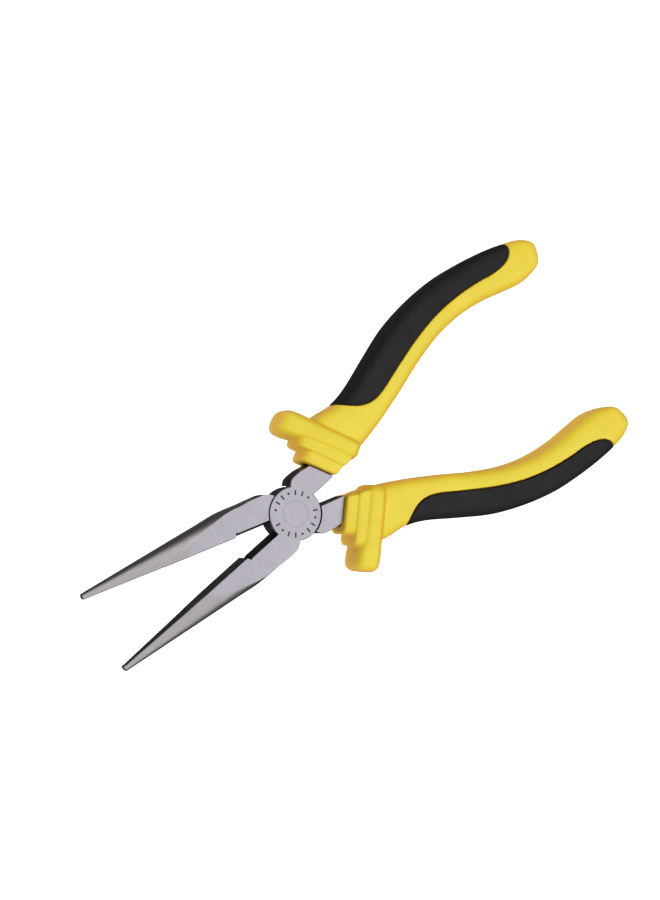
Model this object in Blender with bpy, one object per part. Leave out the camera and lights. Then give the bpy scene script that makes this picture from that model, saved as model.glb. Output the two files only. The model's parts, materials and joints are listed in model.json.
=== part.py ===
"""Needle nose pliers, 8 inch class, lap joint, two-material grips.

Lengths are in millimetres here and become metres in one place, MM.
The outlines are drawn with the pliers shut, pivot at the origin, jaws along +Y,
for the front half: jaw on the -X side, handle on the +X side. The back half is
the same forging turned over. Both are then swung open by half of OPEN_ANGLE.
"""
import math

import bmesh
import bpy
from mathutils import Matrix, Vector

MM = 0.001

# ---- driving sizes (mm, degrees) -------------------------------------------
OPEN_ANGLE = 19.0          # angle between the jaws as delivered
THICK = 9.4                # steel, face to face
JAW_REACH = 76.3           # pivot to jaw tip
TIP_WIDTH = 2.1            # one jaw at the tip
JAW_WIDTH = 9.8            # one jaw behind the taper
NOSE_POWER = 3.6           # squareness of the nose in section
TAPER_START = 24.0         # where the taper begins, from the pivot
DISC_R = 9.2               # round joint face
DISC_GAP = 0.3             # round the joint face, in its bay
LAP_GAP = 0.15             # each side of the mid plane
FACE_GAP = 0.15            # each jaw face from the closing line
CUTTER_BACK = 9.2          # side cutter, nearest the pivot
CUTTER_FRONT = 21.0        # side cutter, end of the edge
CUTTER_BEVEL = 1.25        # bevel drawn back on the faces
TEETH_START = 48.0         # gripping face is plain behind this
TOOTH_PITCH = 0.8
TOOTH_DEPTH = 0.18
RIVET_R = 3.2
RIVET_FLARE = 1.2          # head wider than the shaft by this
RIVET_HEAD_H = 1.4
RIVET_GAP = 0.06
SHANK_HALF_WIDTH = 3.1     # steel inside the grip
SHANK_HALF_THICK = 2.5
FIT_GAP = 0.3              # between pieces that touch
GRIP_HALF_THICK = 7.6
FRONT_FACE = 0.3           # steps of the thumb guard, along the handle
TIER_ONE_END = 4.2
TIER_TWO_END = 7.8
GUARD_REACH = 19.3         # thumb guard, from the handle's axis
CUSHION_THICK = 2.2

RECESS_R = DISC_R + DISC_GAP
RIVET_HEAD_R = RIVET_R + RIVET_FLARE

# handle frame: the front of the grip, and the way the handle leaves the joint
GRIP_FRONT = Vector((5.8, -16.0))
LEAN = math.radians(27.0)
ALONG = Vector((math.sin(LEAN), -math.cos(LEAN)))
ACROSS = Vector((math.cos(LEAN), math.sin(LEAN)))

# grip stations from the guard back: inner edge, outer edge, share of half thickness
GRIP_STATIONS = [
    ((1.6, -20.0), (12.0, -14.7), 0.80),
    ((1.4, -26.0), (15.4, -21.0), 0.92),
    ((2.0, -32.5), (19.7, -25.7), 0.95),
    ((2.9, -38.0), (18.5, -35.2), 0.96),
    ((4.5, -45.5), (19.5, -43.5), 0.98),
    ((7.2, -56.0), (23.2, -55.5), 1.00),
    ((10.4, -67.0), (26.6, -67.5), 1.02),
    ((12.8, -79.0), (28.1, -80.0), 1.02),
    ((13.1, -90.1), (28.0, -92.5), 1.00),
    ((11.6, -100.2), (26.3, -103.5), 0.98),
    ((9.0, -109.2), (24.1, -113.0), 0.96),
    ((7.2, -116.0), (21.8, -120.4), 0.93),
    ((7.1, -121.5), (19.4, -125.9), 0.86),
    ((8.0, -125.7), (16.3, -129.1), 0.66),
    ((10.2, -128.2), (13.2, -129.8), 0.24),
]
# inner border of the black cushion, front to back
CUSHION_BORDER = [
    (23.4, -32.2), (18.3, -35.6), (13.6, -40.7), (11.9, -45.4), (12.4, -50.6),
    (15.0, -60.0), (17.8, -71.0), (19.5, -82.0), (19.6, -92.5), (18.5, -102.0),
    (17.2, -108.5), (17.0, -114.5), (19.2, -119.0), (25.0, -121.0),
]
CUSHION_OUTSIDE = [(36.0, -110.0), (38.0, -85.0), (34.0, -55.0), (27.0, -36.0)]


# ---- mesh helpers ------------------------------------------------------------
def clear_scene():
    for ob in list(bpy.data.objects):
        bpy.data.objects.remove(ob, do_unlink=True)


def add_object(name, verts, faces):
    mesh = bpy.data.meshes.new(name)
    mesh.from_pydata([(x * MM, y * MM, z * MM) for x, y, z in verts], [], faces)
    ob = bpy.data.objects.new(name, mesh)
    bpy.context.scene.collection.objects.link(ob)
    tidy(ob)
    return ob


def tidy(ob):
    bm = bmesh.new()
    bm.from_mesh(ob.data)
    bmesh.ops.remove_doubles(bm, verts=bm.verts, dist=0.000004)
    bmesh.ops.dissolve_degenerate(bm, edges=bm.edges, dist=0.000004)
    bmesh.ops.recalc_face_normals(bm, faces=bm.faces)
    bm.to_mesh(ob.data)
    bm.free()


def prism(name, outline, z0, z1):
    n = len(outline)
    verts = [(x, y, z0) for x, y in outline] + [(x, y, z1) for x, y in outline]
    faces = [tuple(reversed(range(n))), tuple(range(n, 2 * n))]
    faces += [(i, (i + 1) % n, n + (i + 1) % n, n + i) for i in range(n)]
    return add_object(name, verts, faces)


def loft(name, rings):
    n = len(rings[0])
    verts = [p for ring in rings for p in ring]
    faces = []
    for k in range(len(rings) - 1):
        a, b = k * n, (k + 1) * n
        faces += [(a + i, a + (i + 1) % n, b + (i + 1) % n, b + i) for i in range(n)]
    faces.append(tuple(reversed(range(n))))
    last = (len(rings) - 1) * n
    faces.append(tuple(range(last, last + n)))
    return add_object(name, verts, faces)


def combine(ob, other, operation):
    mod = ob.modifiers.new(operation, "BOOLEAN")
    mod.operation = operation
    mod.solver = "EXACT"
    mod.object = other
    bpy.context.view_layer.update()
    graph = bpy.context.evaluated_depsgraph_get()
    mesh = bpy.data.meshes.new_from_object(ob.evaluated_get(graph))
    ob.modifiers.clear()
    ob.data = mesh
    bpy.data.objects.remove(other, do_unlink=True)
    tidy(ob)


def copy_of(ob, name):
    new = ob.copy()
    new.data = ob.data.copy()
    new.name = name
    bpy.context.scene.collection.objects.link(new)
    return new


def curve_through(points, steps):
    """Smooth run through the points; works on tuples of any length."""
    out = []
    for i in range(len(points) - 1):
        p0 = points[max(i - 1, 0)]
        p1, p2 = points[i], points[i + 1]
        p3 = points[min(i + 2, len(points) - 1)]
        for s in range(steps):
            t = s / steps
            out.append(tuple(
                0.5 * (2 * b + (c - a) * t + (2 * a - 5 * b + 4 * c - d) * t * t
                       + (3 * b - a - 3 * c + d) * t ** 3)
                for a, b, c, d in zip(p0, p1, p2, p3)))
    out.append(tuple(points[-1]))
    return out


def squircle(count, power):
    pts = []
    for i in range(count):
        a = 2 * math.pi * (i + 0.5) / count
        c, s = math.cos(a), math.sin(a)
        r = (abs(c) ** power + abs(s) ** power) ** (-1.0 / power)
        pts.append((c * r, s * r))
    return pts


def circle(radius, count=72):
    return [(radius * math.cos(2 * math.pi * (i + 0.5) / count),
             radius * math.sin(2 * math.pi * (i + 0.5) / count)) for i in range(count)]


def handle_point(along, across):
    p = GRIP_FRONT + ALONG * along + ACROSS * across
    return p.x, p.y


# ---- steel half ------------------------------------------------------------
def jaw_outline():
    """Jaw and tang seen from above, one closed line, counter-clockwise."""
    edge = FACE_GAP + CUTTER_BEVEL
    pts = [(-0.5, 6.0), (-FACE_GAP, CUTTER_BACK + 0.3), (-FACE_GAP, CUTTER_FRONT),
           (-edge, CUTTER_FRONT + 0.2), (-FACE_GAP, CUTTER_FRONT + 1.3)]
    teeth = int((JAW_REACH - 1.2 - TEETH_START) / TOOTH_PITCH)
    y = TEETH_START
    for _ in range(teeth):
        pts += [(-FACE_GAP, y), (-FACE_GAP - TOOTH_DEPTH, y + 0.35 * TOOTH_PITCH),
                (-FACE_GAP, y + 0.7 * TOOTH_PITCH)]
        y += TOOTH_PITCH
    pts += [(-FACE_GAP, JAW_REACH - 0.25), (-FACE_GAP - 0.25, JAW_REACH),
            (-TIP_WIDTH + 0.5, JAW_REACH), (-TIP_WIDTH, JAW_REACH - 0.5),
            (-JAW_WIDTH + 0.3, TAPER_START + 2.0), (-JAW_WIDTH + 0.05, TAPER_START),
            (-JAW_WIDTH, TAPER_START - 3.0), (-JAW_WIDTH, 8.2), (-JAW_WIDTH + 0.25, 6.8),
            (-JAW_WIDTH + 0.9, 5.6), (-7.6, 4.2), (-5.0, 3.0)]
    return pts


def tang_outline():
    inner_end = GRIP_FRONT + ACROSS * (-5.7) + ALONG * (FRONT_FACE - FIT_GAP)
    outer_end = GRIP_FRONT + ACROSS * 3.6 + ALONG * (FRONT_FACE - FIT_GAP)
    return [(5.0, -3.0), (7.6, -4.2), (8.9, -5.3), (9.6, -6.4), (9.8, -8.0),
            (9.7, -11.0), (outer_end.x, outer_end.y), (inner_end.x, inner_end.y),
            (0.7, -12.4), (0.9, -8.0), (1.8, -5.0)][::-1]


def nose_envelope():
    """Rounds the jaw: flat faces behind, running out into a half cone in front."""
    shape = squircle(96, NOSE_POWER)
    slope = (JAW_WIDTH - TIP_WIDTH) / (JAW_REACH - TAPER_START)
    stations = [(-170.0, 60.0, 60.0), (10.0, 60.0, 60.0), (10.2, 10.6, 20.0),
                (15.0, 10.1, 8.8), (20.0, 9.95, 7.1)]
    for y, half in ((25.0, 5.85), (31.0, 5.2), (37.0, 4.82), (44.0, 4.35),
                    (54.0, 3.45), (65.0, 2.5), (77.0, 1.45)):
        share = y / 77.0 * (JAW_REACH + 1.5)
        stations.append((share, JAW_WIDTH + 0.1 - slope * max(share - TAPER_START, 0), half))
    rings = [[(a * c, y, b * s) for c, s in shape] for y, a, b in stations]
    return loft("envelope", rings)


def shank_rings(grow, reach):
    """Steel bar inside the grip; the same rings, grown, cut its socket."""
    middles = [(6.3, -13.0), (7.6, -19.5)]
    for inner, outer, _ in GRIP_STATIONS[1:reach]:
        middles.append(((inner[0] + outer[0]) / 2, (inner[1] + outer[1]) / 2))
    line = curve_through(middles, 2)
    corner = 0.75
    rings = []
    for i, p in enumerate(line):
        a = Vector(line[max(i - 1, 0)])
        b = Vector(line[min(i + 1, len(line) - 1)])
        run = (b - a).normalized()
        side = Vector((-run.y, run.x))
        mid = Vector(p)
        if i == len(line) - 1:
            mid = mid + run * grow
        w = (SHANK_HALF_WIDTH - 0.5 * i / len(line)) + grow
        t = SHANK_HALF_THICK + grow
        ring = []
        for u, v in ((w, t - corner), (w - corner, t), (corner - w, t), (-w, t - corner),
                     (-w, corner - t), (corner - w, -t), (w - corner, -t), (w, corner - t)):
            q = mid + side * u
            ring.append((q.x, q.y, v))
        rings.append(ring)
    return rings


def build_lever(name):
    half = THICK / 2
    body = prism(name, jaw_outline(), -half, half)
    combine(body, prism("tang", tang_outline(), -half, half), "UNION")
    combine(body, prism("bay", circle(RECESS_R), -half - 1, LAP_GAP), "DIFFERENCE")
    combine(body, prism("disc", circle(DISC_R), LAP_GAP, half), "UNION")
    combine(body, nose_envelope(), "INTERSECT")
    for sign in (1, -1):
        top, edge = half * sign, 0.25 * sign
        wedge = [(-FACE_GAP - CUTTER_BEVEL, top), (-FACE_GAP + 0.0, edge),
                 (4.0, edge), (4.0, top + sign), (-FACE_GAP - CUTTER_BEVEL, top + sign)]
        rings = [[(x, y, z) for x, z in wedge]
                 for y in (CUTTER_BACK + 0.25, CUTTER_FRONT + 0.15)]
        combine(body, loft("bevel", rings), "DIFFERENCE")
    combine(body, loft("shank", shank_rings(0.0, 11)), "UNION")
    hole_r = RIVET_R + RIVET_GAP
    bore = [(hole_r, -half - 1.0), (hole_r, half - RIVET_HEAD_H - RIVET_GAP),
            (RIVET_HEAD_R + RIVET_GAP, half + 0.02), (RIVET_HEAD_R + RIVET_GAP, half + 1.0)]
    ring = circle(1.0, 48)
    combine(body, loft("bore", [[(r * x, r * y, z) for x, y in ring] for r, z in bore]),
            "DIFFERENCE")
    return body


def build_rivet(name):
    half = THICK / 2
    profile = [(RIVET_HEAD_R, -half), (RIVET_R, -half + RIVET_HEAD_H),
               (RIVET_R, half - RIVET_HEAD_H), (RIVET_HEAD_R, half)]
    ring = circle(1.0, 48)
    return loft(name, [[(r * x, r * y, z) for x, y in ring] for r, z in profile])


# ---- grip ------------------------------------------------------------------
def grip_rings(inset, power=3.1, count=32):
    """Rings of the handle; inset shrinks the section for the cushion pocket."""
    flat = [(i[0], i[1], o[0], o[1], share * GRIP_HALF_THICK)
            for i, o, share in GRIP_STATIONS]
    rings = []
    for xi, yi, xo, yo, thick in curve_through(flat, 2):
        inner, outer = Vector((xi, yi)), Vector((xo, yo))
        mid = (inner + outer) / 2
        arm = (outer - inner) / 2
        reach = max(arm.length - inset, 0.4)
        arm = arm.normalized() * reach
        t = max(thick - inset, 0.4)
        rings.append([(mid.x + arm.x * c, mid.y + arm.y * c, t * s)
                      for c, s in squircle(count, power)])
    return rings


def box_section(n0, n1, half, r_in, r_out, k=3):
    """A box with round corners: tighter on the inner side, fuller on the outer side."""
    out = []
    for n, z, r, a0 in ((n1 - r_out, half - r_out, r_out, 0.0), (n0 + r_in, half - r_in, r_in, 0.5),
                        (n0 + r_in, r_in - half, r_in, 1.0), (n1 - r_out, r_out - half, r_out, 1.5)):
        for i in range(k + 1):
            a = math.pi * (a0 + 0.5 * i / k)
            out.append((n + r * math.cos(a), z + r * math.sin(a)))
    return out


def guard_tier(name, start, end, n0, n0_end, n1, half):
    """One low step of the thumb guard, square to the handle, with a shallow valley behind."""
    rings = []
    for t, less in ((start, 0.7), (start + 0.12, 0.35), (start + 0.4, 0.1), (start + 0.8, 0.0),
                    (end - 0.9, 0.0), (end - 0.35, 0.1), (end, 0.3), (end + 2.2, 0.4)):
        inner = n0 + (n0_end - n0) * min((t - start) / (end - start), 1.0)
        rings.append([(*handle_point(t, n), z) for n, z in
                      box_section(inner + less, n1 - less, half - less, 1.0, 2.6)])
    return loft(name, rings)


def guard_wing(name):
    """The wide rear step that flares outwards, lofted from its inner to its outer end."""
    g = GRIP_HALF_THICK
    stations = [(-10.5, 9.2, 12.6, 0.50 * g), (-10.1, 8.1, 13.9, 0.88 * g),
                (-9.1, 7.4, 14.4, 1.03 * g), (-7.4, 7.0, 14.6, 1.12 * g),
                (0.0, 6.8, 14.7, 1.13 * g), (9.0, 6.3, 14.7, 1.13 * g),
                (GUARD_REACH - 5.2, 5.6, 14.8, 1.11 * g), (GUARD_REACH - 2.0, 5.7, 14.4, 1.04 * g),
                (GUARD_REACH - 0.5, 6.8, 13.2, 0.84 * g), (GUARD_REACH, 8.0, 11.8, 0.50 * g)]
    rings = []
    for n, t0, t1, thick in curve_through(stations, 2):
        rings.append([(*handle_point((t0 + t1) / 2 + (t1 - t0) / 2 * c, n), thick * s)
                      for c, s in squircle(28, 3.4)])
    return loft(name, rings)


def cushion_prism(name, shift):
    border = curve_through(CUSHION_BORDER, 3)
    moved = []
    for i, p in enumerate(border):
        a = Vector(border[max(i - 1, 0)])
        b = Vector(border[min(i + 1, len(border) - 1)])
        run = (b - a).normalized()
        moved.append((p[0] + run.y * shift, p[1] - run.x * shift))
    return prism(name, moved + CUSHION_OUTSIDE, -14.0, 14.0)


def build_grip(name):
    body = loft(name, grip_rings(0.0))
    combine(body, guard_tier("tier_one", FRONT_FACE, TIER_ONE_END, -5.8, -7.0, 7.2, 0.94 * GRIP_HALF_THICK), "UNION")
    combine(body, guard_tier("tier_two", TIER_ONE_END, TIER_TWO_END, -7.2, -8.8, 10.8, 1.03 * GRIP_HALF_THICK),
            "UNION")
    combine(body, guard_wing("wing"), "UNION")
    pocket = cushion_prism("pocket", FIT_GAP)
    combine(pocket, loft("core", grip_rings(CUSHION_THICK + FIT_GAP)), "DIFFERENCE")
    combine(body, pocket, "DIFFERENCE")
    combine(body, loft("socket", shank_rings(FIT_GAP, 11)), "DIFFERENCE")
    return body


def build_cushion(name):
    body = loft(name, grip_rings(0.0))
    combine(body, cushion_prism("border", 0.0), "INTERSECT")
    combine(body, loft("core", grip_rings(CUSHION_THICK)), "DIFFERENCE")
    return body


# ---- materials and placing ---------------------------------------------------
def material(name, colour, metallic, roughness):
    mat = bpy.data.materials.new(name)
    mat.use_nodes = True
    shader = mat.node_tree.nodes["Principled BSDF"]
    shader.inputs["Base Color"].default_value = (*colour, 1.0)
    shader.inputs["Metallic"].default_value = metallic
    shader.inputs["Roughness"].default_value = roughness
    return mat


def place(ob, mat, turn):
    """Swing a piece open about the pivot and smooth its round parts."""
    ob.data.transform(turn)
    ob.data.materials.clear()
    ob.data.materials.append(mat)
    for poly in ob.data.polygons:
        poly.use_smooth = True
    ob.data.set_sharp_from_angle(angle=math.radians(32))
    tidy(ob)


def main():
    clear_scene()
    steel = material("ground_steel", (0.45, 0.44, 0.45), 1.0, 0.32)
    rivet_steel = material("rivet_steel", (0.42, 0.41, 0.42), 1.0, 0.30)
    yellow = material("yellow_grip", (0.83, 0.62, 0.05), 0.0, 0.42)
    black = material("black_cushion", (0.028, 0.027, 0.028), 0.0, 0.62)

    half_turn = math.radians(OPEN_ANGLE / 2)
    open_front = Matrix.Rotation(half_turn, 4, "Z")
    open_back = Matrix.Rotation(-half_turn, 4, "Z")
    turn_over = Matrix.Rotation(math.pi, 4, "Y")

    built = []
    for maker, mat, front_name, back_name in (
            (build_lever, steel, "front_lever", "back_lever"),
            (build_grip, yellow, "front_grip", "back_grip"),
            (build_cushion, black, "front_cushion", "back_cushion")):
        front = maker(front_name)
        back = copy_of(front, back_name)
        place(front, mat, open_front)
        place(back, mat, open_back @ turn_over)
        built += [front, back]
    rivet = build_rivet("pivot_rivet")
    place(rivet, rivet_steel, Matrix.Identity(4))
    built.append(rivet)

    corners = [v.co for ob in built for v in ob.data.vertices]
    low = Vector([min(c[i] for c in corners) for i in range(3)])
    high = Vector([max(c[i] for c in corners) for i in range(3)])
    shift = Vector((-(low.x + high.x) / 2, -(low.y + high.y) / 2, -low.z))
    for ob in built:
        ob.location = shift
    bpy.context.view_layer.update()


main()
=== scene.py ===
import json
import math

import bmesh
import bpy
from mathutils import Matrix, Vector


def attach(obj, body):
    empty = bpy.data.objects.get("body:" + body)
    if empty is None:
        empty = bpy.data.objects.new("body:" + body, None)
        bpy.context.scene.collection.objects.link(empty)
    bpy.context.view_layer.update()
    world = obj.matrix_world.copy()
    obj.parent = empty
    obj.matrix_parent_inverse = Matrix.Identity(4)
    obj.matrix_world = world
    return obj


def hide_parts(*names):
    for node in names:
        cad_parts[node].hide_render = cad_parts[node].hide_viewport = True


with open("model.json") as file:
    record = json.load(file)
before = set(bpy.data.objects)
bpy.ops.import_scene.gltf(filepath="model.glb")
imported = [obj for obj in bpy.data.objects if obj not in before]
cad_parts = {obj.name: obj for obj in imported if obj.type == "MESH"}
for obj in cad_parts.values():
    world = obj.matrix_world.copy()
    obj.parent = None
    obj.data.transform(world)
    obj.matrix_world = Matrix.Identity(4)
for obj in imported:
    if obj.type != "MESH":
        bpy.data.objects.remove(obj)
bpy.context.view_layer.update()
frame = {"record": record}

scene = bpy.context.scene
JOINT = frame["record"]["behaviour"]["joints"][0]
PIVOT = Vector(JOINT["pos_m"])
HALF_OPEN = math.radians(19.0 / 2)

# ---- steel sizes (mm) ----
FACE = 4.7               # flat face, from the mid plane
JAW_REACH = 76.3
JAW_WIDTH = 9.8
TIP_WIDTH = 2.1
TIP_BREAK = 0.3          # the last slice is drawn in by this much
TIP_CORNER = 0.25        # and its gripping corner is cut by this much
TAPER_START = 24.0
DISC_R = 9.2
DISC_CHAMFER = 0.28      # at the ground face
SEAT_CHAMFER = 0.1       # at the seated end
BAY_R = 9.5              # recess for the other half's disc
LAP = 0.15               # disc's inner face from the mid plane
CUT_PAST = 1.0           # how far a cut runs past the faces
CLOSE = 0.15             # gripping face from the closing line
EDGE_BREAK = 0.22        # broken corners of the steel
NOSE_POWER = 3.6         # squareness of the nose in section
CUTTER_END = 21.0
CUTTER_LIP = 1.4         # where the bevel meets the face
CUTTER_EDGE = 0.25       # half height of the cutting edge
RELIEF_LENGTH = 1.3      # notch between the cutter and the gripping face
PLAIN_SLICE = 1.5        # length of a slice in the plain gripping face
TEETH_START = 48.0
TOOTH_PITCH = 0.8
TOOTH_DEPTH = 0.18
RIVET_R = 3.2
RIVET_HEAD_R = 4.39
RIVET_SINK = 1.4         # depth of the countersink
BORE_GAP = 0.02          # round the rivet's shaft
SINK_GAP = 0.04          # round its head
RIVET_BREAK = 0.03       # corner of its ends
TANG_INNER = -5.7        # across the handle, where the tang meets the grip
TANG_OUTER = 3.6
BAR_HALF_WIDTH = 3.1
BAR_TAPER = 0.5          # lost from the half width towards the end
BAR_HALF_THICK = 2.5
BAR_POWER = 5.0          # squareness of the bar in section
BAR_END = 11             # the bar stops before this one of the grip's stations
SHARP_ANGLE = 24.0       # degrees; edges of the steel past this stay crisp
DISC_FACETS = 128
RIVET_FACETS = 96
ARC_STEPS = 14           # parts of a slice across a jaw
FLAT_STEPS = 3
LAND_STEPS = 6
WELD_DISTANCE = 0.0005

# ---- grip sizes (mm) ----
GRIP_HALF = 7.6
GRIP_POWER = 4.6         # squareness of the handle in section
GRIP_POINTS = 80
THINNEST = 0.4           # least half size of an inset slice
WING_POWER = 3.4
WING_POINTS = 56
CORNER_STEPS = 8
FRONT_FACE = 0.3         # steps of the thumb guard, along the handle
TIER_ONE_END = 4.2
TIER_TWO_END = 7.8
GUARD_REACH = 19.3
GUARD_INNER_R = 1.0      # corners of the guard's steps
GUARD_OUTER_R = 2.6
CUSHION_THICK = 2.2
CUSHION_PROUD = 0.05     # stands out of the moulding by this much
CUSHION_CUT = 14.0       # half height of its cutter, past both faces
GAP = 0.3
GRIP_FRONT = Vector((5.8, -16.0))
LEAN = math.radians(27.0)
ALONG = Vector((math.sin(LEAN), -math.cos(LEAN)))
ACROSS = Vector((math.cos(LEAN), math.sin(LEAN)))
GRIP_STATIONS = [
    ((1.6, -20.0), (12.0, -14.7), 0.80),
    ((1.4, -26.0), (15.4, -21.0), 0.92),
    ((2.0, -32.5), (19.7, -25.7), 0.95),
    ((2.9, -38.0), (18.5, -35.2), 0.96),
    ((4.5, -45.5), (19.5, -43.5), 0.98),
    ((7.2, -56.0), (23.2, -55.5), 1.00),
    ((10.4, -67.0), (26.6, -67.5), 1.02),
    ((12.8, -79.0), (28.1, -80.0), 1.02),
    ((13.1, -90.1), (28.0, -92.5), 1.00),
    ((11.6, -100.2), (26.3, -103.5), 0.98),
    ((9.0, -109.2), (24.1, -113.0), 0.96),
    ((7.2, -116.0), (21.8, -120.4), 0.93),
    ((7.1, -121.5), (19.4, -125.9), 0.86),
    ((8.0, -125.7), (16.3, -129.1), 0.78),
    ((10.2, -128.4), (13.4, -130.0), 0.44),
]
CUSHION_BORDER = [
    (23.4, -32.2), (18.3, -35.6), (13.6, -40.7), (11.9, -45.4), (12.4, -50.6),
    (15.0, -60.0), (17.8, -71.0), (19.5, -82.0), (19.6, -92.5), (18.5, -102.0),
    (17.2, -108.5), (17.0, -114.5), (19.2, -119.0), (25.0, -121.0),
]
CUSHION_OUTSIDE = [(36.0, -110.0), (38.0, -85.0), (34.0, -55.0), (27.0, -36.0)]


# ---- camera ----
VIEW_TILT = math.radians(20.3)       # from straight above
VIEW_HEADING = math.radians(66.0)    # direction of that lean, from +X
VIEW_UP = math.radians(-31.05)       # which way is up in the view, from +X
VIEW_REACH = 0.616                   # metres from the pivot
VIEW_SHIFT_RIGHT = 0.01309
VIEW_SHIFT_UP = 0.02145
LENS = 100.1


def aim_camera():
    """Nearly overhead, leaning towards the jaws' end."""
    data = bpy.data.cameras.new("camera")
    cam = bpy.data.objects.new("camera", data)
    scene.collection.objects.link(cam)
    scene.camera = cam
    back = Vector((math.sin(VIEW_TILT) * math.cos(VIEW_HEADING),
                   math.sin(VIEW_TILT) * math.sin(VIEW_HEADING), math.cos(VIEW_TILT)))
    up = Vector((math.cos(VIEW_UP), math.sin(VIEW_UP), 0.0))
    right = up.cross(back).normalized()
    up = back.cross(right).normalized()
    place = PIVOT + back * VIEW_REACH + right * VIEW_SHIFT_RIGHT + up * VIEW_SHIFT_UP
    cam.matrix_world = Matrix((
        (right.x, up.x, back.x, place.x), (right.y, up.y, back.y, place.y),
        (right.z, up.z, back.z, place.z), (0, 0, 0, 1)))
    data.sensor_fit = "HORIZONTAL"
    data.sensor_width = 36.0
    data.lens = LENS
    data.clip_start = 0.01
    return right, up


IMAGE_RIGHT, IMAGE_UP = aim_camera()


# ---- mesh helpers ----
def new_object(name, verts, faces):
    mesh = bpy.data.meshes.new(name)
    mesh.from_pydata(verts, [], faces)
    ob = bpy.data.objects.new(name, mesh)
    scene.collection.objects.link(ob)
    weld(ob)
    return ob


def weld(ob):
    bm = bmesh.new()
    bm.from_mesh(ob.data)
    bmesh.ops.remove_doubles(bm, verts=bm.verts, dist=WELD_DISTANCE)
    bmesh.ops.dissolve_degenerate(bm, edges=bm.edges, dist=WELD_DISTANCE)
    bmesh.ops.recalc_face_normals(bm, faces=bm.faces)
    bm.to_mesh(ob.data)
    bm.free()


def loft(name, rings):
    n = len(rings[0])
    verts = [p for ring in rings for p in ring]
    faces = [(k * n + i, k * n + (i + 1) % n, (k + 1) * n + (i + 1) % n, (k + 1) * n + i)
             for k in range(len(rings) - 1) for i in range(n)]
    last = (len(rings) - 1) * n
    faces += [tuple(reversed(range(n))), tuple(range(last, last + n))]
    return new_object(name, verts, faces)


def bake_modifiers(ob):
    bpy.context.view_layer.update()
    graph = bpy.context.evaluated_depsgraph_get()
    mesh = bpy.data.meshes.new_from_object(ob.evaluated_get(graph))
    ob.modifiers.clear()
    ob.data = mesh


def combine(ob, other, operation):
    mod = ob.modifiers.new(operation, "BOOLEAN")
    mod.operation = operation
    mod.solver = "EXACT"
    mod.object = other
    bake_modifiers(ob)
    bpy.data.objects.remove(other, do_unlink=True)
    weld(ob)


def copy_of(ob, name):
    new = ob.copy()
    new.data = ob.data.copy()
    new.name = name
    scene.collection.objects.link(new)
    return new


def soften(ob, voxel, passes):
    """Re-skins a moulded piece so that its steps and rims get small radii."""
    mod = ob.modifiers.new("skin", "REMESH")
    mod.mode = "VOXEL"
    mod.voxel_size = voxel
    mod = ob.modifiers.new("smooth", "SMOOTH")
    mod.factor = 0.5
    mod.iterations = passes
    bake_modifiers(ob)


def curve_through(points, steps):
    out = []
    for i in range(len(points) - 1):
        p0, p1 = points[max(i - 1, 0)], points[i]
        p2, p3 = points[i + 1], points[min(i + 2, len(points) - 1)]
        for s in range(steps):
            t = s / steps
            out.append(tuple(
                0.5 * (2 * b + (c - a) * t + (2 * a - 5 * b + 4 * c - d) * t * t
                       + (3 * b - a - 3 * c + d) * t ** 3)
                for a, b, c, d in zip(p0, p1, p2, p3)))
    out.append(tuple(points[-1]))
    return out


def between(stations, y):
    """Smooth value of each column of (y, value, value...) stations at y."""
    if y <= stations[0][0]:
        return stations[0][1:]
    for i in range(len(stations) - 1):
        if y <= stations[i + 1][0]:
            p1, p2 = stations[i], stations[i + 1]
            p0, p3 = stations[max(i - 1, 0)], stations[min(i + 2, len(stations) - 1)]
            h = p2[0] - p1[0]
            t = (y - p1[0]) / h
            out = []
            for k in range(1, len(p1)):
                m1 = (p2[k] - p0[k]) / max(p2[0] - p0[0], 1e-6) * h
                m2 = (p3[k] - p1[k]) / max(p3[0] - p1[0], 1e-6) * h
                out.append((2 * t ** 3 - 3 * t * t + 1) * p1[k] + (t ** 3 - 2 * t * t + t) * m1
                           + (3 * t * t - 2 * t ** 3) * p2[k] + (t ** 3 - t * t) * m2)
            return tuple(out)
    return stations[-1][1:]


def squircle(count, power):
    pts = []
    for i in range(count):
        a = 2 * math.pi * (i + 0.5) / count
        c, s = math.cos(a), math.sin(a)
        r = (abs(c) ** power + abs(s) ** power) ** (-1.0 / power)
        pts.append((c * r, s * r))
    return pts


def turned(name, profile, count):
    """A closed solid of revolution about the pivot, from (radius, height) pairs."""
    ring = squircle(count, 2.0)
    return loft(name, [[(r * x, r * y, z) for x, y in ring] for r, z in profile])


def handle_point(along, across):
    p = GRIP_FRONT + ALONG * along + ACROSS * across
    return p.x, p.y


# ---- steel half ----
SLOPE = (JAW_WIDTH - TIP_WIDTH) / (JAW_REACH - TAPER_START)


def tapered(y):
    """Width of the nose at y, ahead of where its taper starts."""
    return JAW_WIDTH - SLOPE * (y - TAPER_START)


# along the jaw: place, width, and half height of the rounded section before it is cut flat
NOSE = [
    (3.0, 5.0, 60.0), (4.2, 7.6, 60.0), (5.6, 8.9, 60.0), (6.8, 9.55, 58.0), (8.2, 9.8, 50.0),
    (10.2, 9.82, 20.0), (15.0, 9.85, 8.8), (20.0, 9.85, 7.1), (25.0, 9.7, 5.85),
    (31.0, tapered(31.0), 5.2), (37.0, tapered(37.0), 4.82), (44.0, tapered(44.0), 4.35),
    (54.0, tapered(54.0), 3.45), (65.0, tapered(65.0), 2.5), (JAW_REACH, TIP_WIDTH, 1.5),
]


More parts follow.
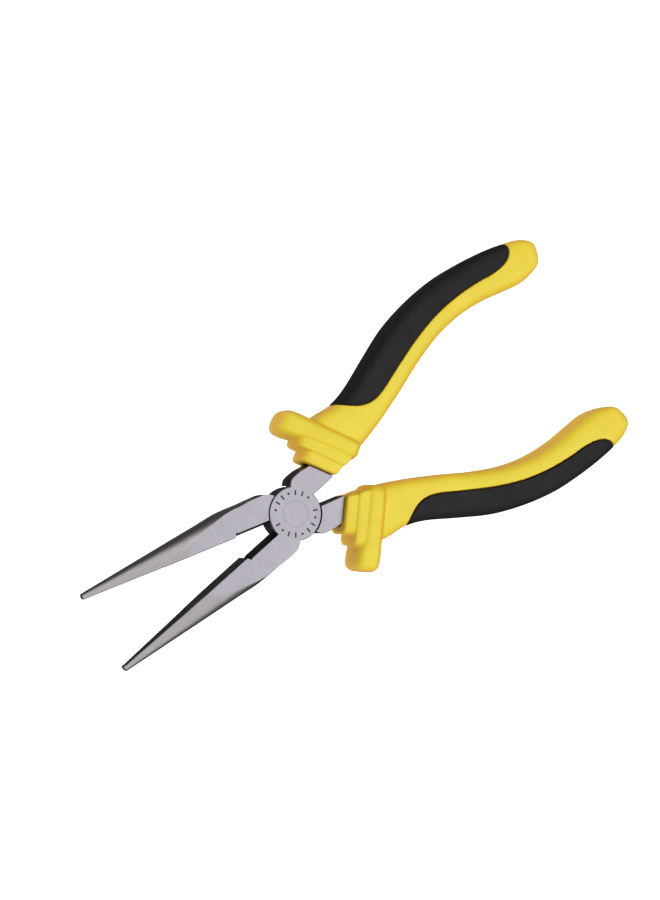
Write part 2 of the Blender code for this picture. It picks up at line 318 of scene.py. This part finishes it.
def jaw_ring(y, grip_x, land, lip_x, inset=0.0):
    """One slice across a jaw: grip_x and land are the gripping face and its half height,
    lip_x is where the flat face starts."""
    a, b = between(NOSE, y)
    a, b = a - inset, b - inset
    start = min(math.asin(min(1.0, FACE / b) ** (NOSE_POWER / 2)),
                math.acos(min(1.0, max(-lip_x, 0.05) / a) ** (NOSE_POWER / 2)))
    bend = 2 / NOSE_POWER
    arc = []
    for k in range(ARC_STEPS + 1):
        angle = start * (1 - k / ARC_STEPS)
        arc.append((-a * math.cos(angle) ** bend, b * math.sin(angle) ** bend))
    top = arc[0][1]
    land = min(land, top - EDGE_BREAK) if land > 1.0 else land
    arc += [(x, -z) for x, z in reversed(arc[:-1])]
    flat = [(lip_x + (arc[0][0] - lip_x) * k / FLAT_STEPS, top) for k in range(FLAT_STEPS)]
    under = [(x, -z) for x, z in reversed(flat)]
    face = [(grip_x, -land + 2 * land * k / LAND_STEPS) for k in range(LAND_STEPS + 1)]
    return [(x, y, z) for x, z in face + flat + arc + under]


def land_ring(y, x):
    """A slice whose gripping face is full height, at x."""
    return jaw_ring(y, x, FACE, x - EDGE_BREAK)


def build_jaw():
    rings = []
    for y in (3.0, 3.6, 4.2, 4.9, 5.6, 6.2, 6.8, 7.5, 8.2, 9.2, 10.5, 12.0, 14.0, 16.0, 18.0,
              19.5, CUTTER_END):
        rings.append(jaw_ring(y, -CLOSE, CUTTER_EDGE, -CUTTER_LIP))
    for step in (0.12, 0.55):
        rings.append(land_ring(CUTTER_END + step, -CUTTER_LIP))
    y = CUTTER_END + RELIEF_LENGTH
    rings.append(land_ring(y, -CLOSE))
    while y < TEETH_START - 1.6:
        y += PLAIN_SLICE
        rings.append(land_ring(y, -CLOSE))
    y = TEETH_START
    while y < JAW_REACH - 1.4:
        for part, dip in ((0.0, 0.0), (0.35, TOOTH_DEPTH), (0.7, 0.0)):
            rings.append(land_ring(y + part * TOOTH_PITCH, -CLOSE - dip))
        y += TOOTH_PITCH
    rings.append(land_ring(JAW_REACH - TIP_BREAK, -CLOSE))
    rings.append(jaw_ring(JAW_REACH, -CLOSE - TIP_CORNER, FACE, -CLOSE - 2 * TIP_CORNER,
                          TIP_BREAK))
    return loft("jaw", rings)


def build_tang():
    inner_end = GRIP_FRONT + ACROSS * TANG_INNER + ALONG * (FRONT_FACE - GAP)
    outer_end = GRIP_FRONT + ACROSS * TANG_OUTER + ALONG * (FRONT_FACE - GAP)
    outline = curve_through([(5.0, -3.0), (7.6, -4.2), (8.9, -5.3), (9.6, -6.4), (9.8, -8.0),
                             (9.7, -11.0)], 4)
    outline += [(outer_end.x, outer_end.y), (inner_end.x, inner_end.y)]
    outline += [(0.7, -12.4), (0.9, -8.0), (1.8, -5.0)]
    middle = Vector((5.5, -9.5))

    def shrunk(amount):
        out = []
        n = len(outline)
        for i, p in enumerate(outline):
            run = (Vector(outline[(i + 1) % n]) - Vector(outline[i - 1])).normalized()
            side = Vector((run.y, -run.x))
            if side.dot(middle - Vector(p)) < 0:
                side = -side
            out.append(Vector(p) + side * amount)
        return out

    rings = [[(p.x, p.y, z) for p in shrunk(cut)] for z, cut in (
        (-FACE, EDGE_BREAK), (-FACE + EDGE_BREAK, 0.0), (FACE - EDGE_BREAK, 0.0),
        (FACE, EDGE_BREAK))]
    return loft("tang", rings)


def bar_rings(grow):
    """The steel inside the grip; grown, the same rings cut the socket."""
    middles = [(6.3, -13.0), (7.6, -19.5)]
    for inner, outer, _ in GRIP_STATIONS[1:BAR_END]:
        middles.append(((inner[0] + outer[0]) / 2, (inner[1] + outer[1]) / 2))
    line = curve_through(middles, 3)
    rings = []
    for i, p in enumerate(line):
        run = (Vector(line[min(i + 1, len(line) - 1)]) - Vector(line[max(i - 1, 0)])).normalized()
        side = Vector((-run.y, run.x))
        mid = Vector(p) + (run * grow if i == len(line) - 1 else Vector((0, 0)))
        w = BAR_HALF_WIDTH - BAR_TAPER * i / len(line) + grow
        t = BAR_HALF_THICK + grow
        rings.append([(mid.x + side.x * w * c, mid.y + side.y * w * c, t * s)
                      for c, s in squircle(24, BAR_POWER)])
    return rings


def build_half(name):
    body = build_jaw()
    body.name = name
    combine(body, build_tang(), "UNION")
    bay = [(BAY_R, -FACE - CUT_PAST), (BAY_R, LAP)]
    disc = [(DISC_R - SEAT_CHAMFER, LAP), (DISC_R, LAP + SEAT_CHAMFER),
            (DISC_R, FACE - DISC_CHAMFER), (DISC_R - DISC_CHAMFER, FACE)]
    shaft, head = RIVET_R + BORE_GAP, RIVET_HEAD_R + SINK_GAP
    bore = [(shaft, -FACE - CUT_PAST), (shaft, FACE - RIVET_SINK), (head, FACE + 0.001),
            (head, FACE + CUT_PAST)]
    combine(body, turned("bay", bay, DISC_FACETS), "DIFFERENCE")
    combine(body, turned("disc", disc, DISC_FACETS), "UNION")
    combine(body, loft("bar", bar_rings(0.0)), "UNION")
    combine(body, turned("bore", bore, RIVET_FACETS), "DIFFERENCE")
    return body


GROUND_FACE, FORGED_SIDE, BRIGHT_NOSE = range(3)     # the order of the steel's materials


def finish_of_face(poly):
    """Which of the three finishes a face of the steel has."""
    c, n = poly.center, poly.normal
    if abs(n.z) > 0.99 and abs(c.z) > FACE - 0.03:
        return GROUND_FACE
    if abs(c.z) > FACE - 0.35 and abs(n.z) > 0.3 and c.y < 12:
        return GROUND_FACE
    if c.y > 11.0 and c.x < -CLOSE - TOOTH_DEPTH - 0.1 and abs(n.y) < 0.9 and n.x < 0.3:
        return BRIGHT_NOSE
    if c.y > JAW_REACH - 0.5:
        return BRIGHT_NOSE
    if c.y > 30 and abs(n.z) > 0.6:
        return BRIGHT_NOSE
    return FORGED_SIDE


# ---- grip ----
def grip_rings(inset):
    """Slices down the handle, drawn in by inset all round."""
    flat = [(i[0], i[1], o[0], o[1], share * GRIP_HALF) for i, o, share in GRIP_STATIONS]
    rings = []
    for xi, yi, xo, yo, thick in curve_through(flat, 5):
        inner, outer = Vector((xi, yi)), Vector((xo, yo))
        mid, arm = (inner + outer) / 2, (outer - inner) / 2
        arm = arm.normalized() * max(arm.length - inset, THINNEST)
        t = max(thick - inset, THINNEST)
        rings.append([(mid.x + arm.x * c, mid.y + arm.y * c, t * s)
                      for c, s in squircle(GRIP_POINTS, GRIP_POWER)])
    return rings


def box_section(n0, n1, half):
    """A box with round corners: tighter on the inner side, fuller on the outer side."""
    r_in, r_out = GUARD_INNER_R, GUARD_OUTER_R
    corners = ((n1 - r_out, half - r_out, r_out), (n0 + r_in, half - r_in, r_in),
               (n0 + r_in, r_in - half, r_in), (n1 - r_out, r_out - half, r_out))
    out = []
    for quarter, (n, z, r) in enumerate(corners):
        for i in range(CORNER_STEPS + 1):
            a = math.pi * (0.5 * quarter + 0.5 * i / CORNER_STEPS)
            out.append((n + r * math.cos(a), z + r * math.sin(a)))
    return out


def guard_tier(name, start, end, n0, n0_end, n1, share):
    """One low step of the thumb guard, square to the handle. It sinks a little towards its
    end and runs on under the next step."""
    half = share * GRIP_HALF
    rings = []
    for t, less in ((start, 0.7), (start + 0.12, 0.35), (start + 0.4, 0.1), (start + 0.8, 0.0),
                    (end - 0.9, 0.0), (end - 0.35, 0.1), (end, 0.3), (end + 2.2, 0.4)):
        inner = n0 + (n0_end - n0) * min((t - start) / (end - start), 1.0)
        rings.append([(*handle_point(t, n), z) for n, z in
                      box_section(inner + less, n1 - less, half - less)])
    return loft(name, rings)


def guard_wing(name):
    """The wide rear step that flares outwards, lofted from its inner to its outer end."""
    g = GRIP_HALF
    stations = [(-10.5, 9.2, 12.6, 0.50 * g), (-10.1, 8.1, 13.9, 0.88 * g),
                (-9.1, 7.4, 14.4, 1.03 * g), (-7.4, 7.0, 14.6, 1.12 * g),
                (0.0, 6.8, 14.7, 1.13 * g), (9.0, 6.3, 14.7, 1.13 * g),
                (GUARD_REACH - 5.2, 5.6, 14.8, 1.11 * g), (GUARD_REACH - 2.0, 5.7, 14.4, 1.04 * g),
                (GUARD_REACH - 0.5, 6.8, 13.2, 0.84 * g), (GUARD_REACH, 8.0, 11.8, 0.50 * g)]
    rings = []
    for n, t0, t1, thick in curve_through(stations, 5):
        rings.append([(*handle_point((t0 + t1) / 2 + (t1 - t0) / 2 * c, n), thick * s)
                      for c, s in squircle(WING_POINTS, WING_POWER)])
    return loft(name, rings)


def cushion_prism(name, shift):
    """A tall block that takes in the cushion and runs past its inner border by shift."""
    border = curve_through(CUSHION_BORDER, 5)
    moved = []
    for i, p in enumerate(border):
        run = (Vector(border[min(i + 1, len(border) - 1)])
               - Vector(border[max(i - 1, 0)])).normalized()
        moved.append((p[0] + run.y * shift, p[1] - run.x * shift))
    moved += CUSHION_OUTSIDE
    return loft(name, [[(x, y, z) for x, y in moved] for z in (-CUSHION_CUT, CUSHION_CUT)])


def build_grip(name):
    body = loft(name, grip_rings(0.0))
    for tier in (("tier_one", FRONT_FACE, TIER_ONE_END, -5.8, -7.0, 7.2, 0.94),
                 ("tier_two", TIER_ONE_END, TIER_TWO_END, -7.2, -8.8, 10.8, 1.03)):
        combine(body, guard_tier(*tier), "UNION")
    combine(body, guard_wing("wing"), "UNION")
    pocket = cushion_prism("pocket", GAP)
    combine(pocket, loft("core", grip_rings(CUSHION_THICK + GAP)), "DIFFERENCE")
    combine(body, pocket, "DIFFERENCE")
    combine(body, loft("socket", bar_rings(GAP)), "DIFFERENCE")
    soften(body, voxel=0.36, passes=3)
    return body


def build_cushion(name):
    body = loft(name, grip_rings(-CUSHION_PROUD))
    combine(body, cushion_prism("border", 0.0), "INTERSECT")
    combine(body, loft("core", grip_rings(CUSHION_THICK)), "DIFFERENCE")
    soften(body, voxel=0.32, passes=4)
    return body


# ---- materials ----
class Maker:
    """Small helper to wire one node material."""

    def __init__(self, name):
        self.mat = bpy.data.materials.new(name)
        self.mat.use_nodes = True
        self.tree = self.mat.node_tree
        self.shader = self.tree.nodes["Principled BSDF"]
        self.coords = self.add("ShaderNodeTexCoord").outputs["Object"]

    def add(self, kind, **values):
        node = self.tree.nodes.new(kind)
        for key, value in values.items():
            setattr(node, key, value)
        return node

    def link(self, a, b):
        self.tree.links.new(a, b)

    def set(self, **values):
        for key, value in values.items():
            self.shader.inputs[key.replace("_", " ")].default_value = value

    def noise(self, scale, detail=3.0, rough=0.55, stretch=None):
        source = self.coords
        if stretch:
            m = self.add("ShaderNodeMapping")
            m.inputs["Scale"].default_value = stretch
            self.link(self.coords, m.inputs["Vector"])
            source = m.outputs["Vector"]
        n = self.add("ShaderNodeTexNoise")
        n.inputs["Scale"].default_value = scale
        n.inputs["Detail"].default_value = detail
        n.inputs["Roughness"].default_value = rough
        self.link(source, n.inputs["Vector"])
        return n.outputs["Fac"]

    def ramp(self, fac, stops):
        r = self.add("ShaderNodeValToRGB")
        while len(r.color_ramp.elements) < len(stops):
            r.color_ramp.elements.new(0.5)
        for e, (pos, col) in zip(r.color_ramp.elements, stops):
            e.position = pos
            e.color = (*col, 1.0)
        self.link(fac, r.inputs["Fac"])
        return r.outputs["Color"]

    def span(self, fac, low, high, start=0.0, end=1.0):
        m = self.add("ShaderNodeMapRange")
        m.inputs["From Min"].default_value = start
        m.inputs["From Max"].default_value = end
        m.inputs["To Min"].default_value = low
        m.inputs["To Max"].default_value = high
        self.link(fac, m.inputs["Value"])
        return m.outputs["Result"]

    def bumps(self, layers):
        normal = None
        for height, strength, depth in layers:
            b = self.add("ShaderNodeBump")
            b.inputs["Strength"].default_value = strength
            b.inputs["Distance"].default_value = depth
            self.link(height, b.inputs["Height"])
            if normal is not None:
                self.link(normal, b.inputs["Normal"])
            normal = b.outputs["Normal"]
        self.link(normal, self.shader.inputs["Normal"])


def steel(name, dark, light, rough_low, rough_high, grain=(1.0, 14.0, 1.0), bump=0.05):
    m = Maker(name)
    m.set(Metallic=1.0)
    lines = m.noise(260.0, 4.0, 0.6, stretch=grain)
    cloud = m.noise(90.0, 3.0)
    m.link(m.ramp(lines, [(0.25, dark), (0.75, light)]), m.shader.inputs["Base Color"])
    m.link(m.span(cloud, rough_low, rough_high, 0.3, 0.7), m.shader.inputs["Roughness"])
    m.bumps([(lines, bump, 0.00005), (cloud, 0.03, 0.0003)])
    return m.mat


def forged(name):
    m = Maker(name)
    m.set(Metallic=0.85)
    pits = m.noise(900.0, 4.0, 0.65)
    cloud = m.noise(120.0, 3.0)
    m.link(m.ramp(cloud, [(0.3, (0.022, 0.020, 0.022)), (0.7, (0.060, 0.056, 0.060))]),
           m.shader.inputs["Base Color"])
    m.link(m.span(pits, 0.34, 0.52, 0.3, 0.7), m.shader.inputs["Roughness"])
    m.bumps([(pits, 0.16, 0.0001), (cloud, 0.08, 0.0004)])
    return m.mat


def moulded(name, dark, light, painted_side_shade, rough, grain_depth, coat, shine):
    m = Maker(name)
    m.set(Metallic=0.0, Coat_Weight=coat, Coat_Roughness=0.35, Specular_IOR_Level=shine)
    cloud = m.noise(60.0, 4.0, 0.6)
    skin = m.noise(1900.0, 2.0, 0.5)
    flow = m.noise(260.0, 3.0, 0.5)
    # painted shade: the more a face turns away from the camera, the more its colour blends into
    # the given darker side colour. This stands in for the shade on the moulding's sides.
    turned_away = m.add("ShaderNodeLayerWeight")
    turned_away.inputs["Blend"].default_value = 0.5
    mix = m.add("ShaderNodeMix", data_type="RGBA")
    m.link(m.span(turned_away.outputs["Facing"], 0.0, 1.0, 0.10, 0.62), mix.inputs[0])
    m.link(m.ramp(cloud, [(0.3, dark), (0.7, light)]), mix.inputs[6])
    mix.inputs[7].default_value = (*painted_side_shade, 1.0)
    m.link(mix.outputs[2], m.shader.inputs["Base Color"])
    m.link(m.span(flow, rough - 0.04, rough + 0.06, 0.3, 0.7), m.shader.inputs["Roughness"])
    m.bumps([(skin, grain_depth, 0.00008), (flow, 0.05, 0.0003)])
    return m.mat


# ---- placing ----
def frame_of(side):
    """From a half drawn shut, in mm, to the row frame in metres."""
    turn = Matrix.Rotation(HALF_OPEN * side, 4, "Z")
    if side < 0:
        turn = turn @ Matrix.Rotation(math.pi, 4, "Y")
    return Matrix.Translation(PIVOT) @ turn @ Matrix.Scale(0.001, 4)


def settle(ob, matrix, mats, choose=None, sharp=None):
    mesh = ob.data
    mesh.materials.clear()
    for mat in mats:
        mesh.materials.append(mat)
    for poly in mesh.polygons:
        poly.material_index = choose(poly) if choose else 0
        poly.use_smooth = True
    mesh.transform(matrix)
    if sharp:
        mesh.set_sharp_from_angle(angle=math.radians(sharp))
    mesh.update()


def keep(ob, body, node):
    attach(ob, body)
    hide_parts(node)


GROUND = steel("ground_steel", (0.296, 0.279, 0.314), (0.364, 0.346, 0.385), 0.30, 0.42)
POLISHED = steel("polished_steel", (0.262, 0.245, 0.251), (0.362, 0.339, 0.346), 0.18, 0.27,
                 grain=(14.0, 1.0, 1.0), bump=0.03)
DARK = forged("dark_forged_steel")
# the third colour of each moulding is painted shade for its sides: orange on the yellow grip, near
# black on the cushion
YELLOW = moulded("yellow_moulding", (0.82, 0.640, 0.019), (0.88, 0.715, 0.029),
                 (0.82, 0.48, 0.026), 0.42, 0.10, 0.05, 0.5)
BLACK = moulded("black_soft_moulding", (0.0075, 0.0070, 0.0085), (0.014, 0.013, 0.016),
                (0.006, 0.006, 0.007), 0.58, 0.30, 0.0, 0.22)

front_steel = build_half("front_steel")
front_sleeve = build_grip("front_sleeve")
front_pad = build_cushion("front_pad")
for ob, mats, choose, sharp, back_name, slot, node in (
        (front_steel, (GROUND, DARK, POLISHED), finish_of_face, SHARP_ANGLE, "back_steel",
         "ground_steel", "lever"),
        (front_sleeve, (YELLOW,), None, None, "back_sleeve", "yellow_grip", "grip"),
        (front_pad, (BLACK,), None, None, "back_pad", "black_cushion", "cushion")):
    twin = copy_of(ob, back_name)
    settle(ob, frame_of(1), mats, choose, sharp)
    settle(twin, frame_of(-1), mats, choose, sharp)
    keep(ob, "front_half", "front_" + node)
    keep(twin, "back_half", "back_" + node)

rivet = turned("flush_rivet", [
    (RIVET_HEAD_R - RIVET_BREAK, -FACE), (RIVET_HEAD_R, -FACE + RIVET_BREAK),
    (RIVET_R, -FACE + RIVET_SINK), (RIVET_R, FACE - RIVET_SINK),
    (RIVET_HEAD_R, FACE - RIVET_BREAK), (RIVET_HEAD_R - RIVET_BREAK, FACE)], RIVET_FACETS)
settle(rivet, frame_of(1), (GROUND,), None, SHARP_ANGLE)
keep(rivet, "front_half", "pivot_rivet")


# ---- etched ring of plain marks on the front joint face ----
MARK_HEIGHT = 0.03
MARK_LIFT = 0.005        # of the marks' middle, above the face
DOT_R = 0.42
DOT_FACETS = 20
LEFT_OUT = (3, 13)       # places in the ring that stay bare, so the marks sit in two arcs


def etched_marks():
    """Short bars and dots set round the joint face, made once and copied round the ring."""
    tree = bpy.data.node_groups.new("marks_round_ring", "GeometryNodeTree")
    face = tree.interface
    face.new_socket("Geometry", in_out="INPUT", socket_type="NodeSocketGeometry")
    for name, value in (("Ring radius", 7.1), ("Bar length", 1.7), ("Bar width", 0.55)):
        s = face.new_socket(name, in_out="INPUT", socket_type="NodeSocketFloat")
        s.default_value = value
    s = face.new_socket("Marks in a full turn", in_out="INPUT", socket_type="NodeSocketInt")
    s.default_value = 18
    face.new_socket("Finish", in_out="INPUT", socket_type="NodeSocketMaterial")
    face.new_socket("Geometry", in_out="OUTPUT", socket_type="NodeSocketGeometry")
    nodes, link = tree.nodes, tree.links.new
    given, out = nodes.new("NodeGroupInput"), nodes.new("NodeGroupOutput")
    ring = nodes.new("GeometryNodeMeshCircle")
    link(given.outputs["Marks in a full turn"], ring.inputs["Vertices"])
    link(given.outputs["Ring radius"], ring.inputs["Radius"])
    index = nodes.new("GeometryNodeInputIndex")

    def math_node(kind, a, b):
        n = nodes.new("ShaderNodeMath")
        n.operation = kind
        for socket, value in zip(n.inputs, (a, b)):
            if isinstance(value, (int, float)):
                socket.default_value = value
            else:
                link(value, socket)
        return n.outputs[0]

    turn = math_node("MULTIPLY", index.outputs[0], 2 * math.pi)
    turn = math_node("DIVIDE", turn, given.outputs["Marks in a full turn"])
    spin = nodes.new("ShaderNodeCombineXYZ")
    link(turn, spin.inputs["Z"])
    # every third mark is a dot
    third = math_node("MODULO", index.outputs[0], 3)
    is_dot = math_node("GREATER_THAN", third, 1.5)
    bar = nodes.new("GeometryNodeMeshCube")
    size = nodes.new("ShaderNodeCombineXYZ")
    link(given.outputs["Bar length"], size.inputs["X"])
    link(given.outputs["Bar width"], size.inputs["Y"])
    size.inputs["Z"].default_value = MARK_HEIGHT
    link(size.outputs[0], bar.inputs["Size"])
    dot = nodes.new("GeometryNodeMeshCylinder")
    dot.inputs["Vertices"].default_value = DOT_FACETS
    dot.inputs["Radius"].default_value = DOT_R
    dot.inputs["Depth"].default_value = MARK_HEIGHT
    bare = [math_node("COMPARE", index.outputs[0], place) for place in LEFT_OUT]
    show = math_node("LESS_THAN", math_node("ADD", *bare), 0.5)
    bars = nodes.new("GeometryNodeInstanceOnPoints")
    dots = nodes.new("GeometryNodeInstanceOnPoints")
    link(ring.outputs["Mesh"], bars.inputs["Points"])
    link(ring.outputs["Mesh"], dots.inputs["Points"])
    link(bar.outputs["Mesh"], bars.inputs["Instance"])
    link(dot.outputs["Mesh"], dots.inputs["Instance"])
    link(math_node("MULTIPLY", show, math_node("SUBTRACT", 1.0, is_dot)), bars.inputs["Selection"])
    link(math_node("MULTIPLY", show, is_dot), dots.inputs["Selection"])
    link(spin.outputs[0], bars.inputs["Rotation"])
    link(spin.outputs[0], dots.inputs["Rotation"])
    join = nodes.new("GeometryNodeJoinGeometry")
    link(bars.outputs[0], join.inputs[0])
    link(dots.outputs[0], join.inputs[0])
    real = nodes.new("GeometryNodeRealizeInstances")
    link(join.outputs[0], real.inputs[0])
    finish = nodes.new("GeometryNodeSetMaterial")
    link(real.outputs[0], finish.inputs["Geometry"])
    link(given.outputs["Finish"], finish.inputs["Material"])
    link(finish.outputs[0], out.inputs[0])

    mesh = bpy.data.meshes.new("etched_marks")
    ob = bpy.data.objects.new("etched_marks", mesh)
    scene.collection.objects.link(ob)
    mod = ob.modifiers.new("marks", "NODES")
    mod.node_group = tree
    for item in tree.interface.items_tree:
        if item.item_type == "SOCKET" and item.in_out == "INPUT" and item.name == "Finish":
            mod[item.identifier] = DARK
    bake_modifiers(ob)
    lift = Matrix.Translation((0, 0, FACE + MARK_LIFT))
    ob.data.transform(frame_of(1) @ lift)
    for poly in ob.data.polygons:
        poly.use_smooth = False
    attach(ob, "front_half")


etched_marks()


# ---- floor and light (metres) ----
FLOOR_HALF = 3.0
FLOOR_Z = -0.0004        # a hair under the lowest faces
FLOOR_GLOW = 1.25
SKY_STRENGTH = 1.36


def white_floor():
    corners = ((-1, -1), (1, -1), (1, 1), (-1, 1))
    floor = new_object("floor", [(FLOOR_HALF * x, FLOOR_HALF * y, FLOOR_Z) for x, y in corners],
                       [(0, 1, 2, 3)])
    mat = bpy.data.materials.new("white_sweep")
    mat.use_nodes = True
    nodes, link = mat.node_tree.nodes, mat.node_tree.links.new
    nodes.clear()
    out = nodes.new("ShaderNodeOutputMaterial")
    glow = nodes.new("ShaderNodeEmission")
    glow.inputs["Color"].default_value = (1, 1, 1, 1)
    glow.inputs["Strength"].default_value = FLOOR_GLOW
    matt = nodes.new("ShaderNodeBsdfDiffuse")
    matt.inputs["Color"].default_value = (0.25, 0.25, 0.25, 1)
    both = nodes.new("ShaderNodeAddShader")
    link(glow.outputs[0], both.inputs[0])
    link(matt.outputs[0], both.inputs[1])
    link(both.outputs[0], out.inputs["Surface"])
    floor.data.materials.append(mat)
    floor.visible_glossy = False


def softbox(name, height, right, up, size, power):
    """A round area light aimed at the pivot; right and up are as the camera sees them."""
    data = bpy.data.lights.new(name, "AREA")
    data.shape = "DISK"
    data.size = size
    data.energy = power
    ob = bpy.data.objects.new(name, data)
    scene.collection.objects.link(ob)
    ob.location = Vector((0.0, 0.0, height)) + IMAGE_RIGHT * right + IMAGE_UP * up
    ob.rotation_euler = (PIVOT - ob.location).to_track_quat("-Z", "Y").to_euler()


white_floor()
softbox("key", height=0.9, right=0.9, up=-0.10, size=0.5, power=1.6)
softbox("strip", height=0.70, right=0.10, up=0.22, size=0.34, power=0.16)


def studio_sky():
    """A broad soft light overhead, leaning to the lower side of the view, over a dim room."""
    world = bpy.data.worlds.new("studio")
    scene.world = world
    world.use_nodes = True
    nodes, link = world.node_tree.nodes, world.node_tree.links.new
    coords = nodes.new("ShaderNodeTexCoord")
    towards = nodes.new("ShaderNodeVectorMath")
    towards.operation = "DOT_PRODUCT"
    towards.inputs[1].default_value = (
        Vector((0, 0, 1)) + IMAGE_RIGHT * 0.02 - IMAGE_UP * 0.14).normalized()
    link(coords.outputs["Generated"], towards.inputs[0])
    level = nodes.new("ShaderNodeMapRange")
    level.inputs["From Min"].default_value = -1.0
    link(towards.outputs["Value"], level.inputs["Value"])
    ramp = nodes.new("ShaderNodeValToRGB")
    link(level.outputs["Result"], ramp.inputs["Fac"])
    stops = ((0.0, 0.08), (0.50, 0.12), (0.67, 0.22), (0.81, 0.46), (0.905, 0.93), (1.0, 1.0))
    elements = ramp.color_ramp.elements
    while len(elements) < len(stops):
        elements.new(0.5)
    for e, (place, value) in zip(elements, stops):
        e.position = place
        e.color = (value, value, value, 1.0)
    link(ramp.outputs["Color"], nodes["Background"].inputs["Color"])
    nodes["Background"].inputs["Strength"].default_value = SKY_STRENGTH


studio_sky()
scene.view_settings.view_transform = "Standard"
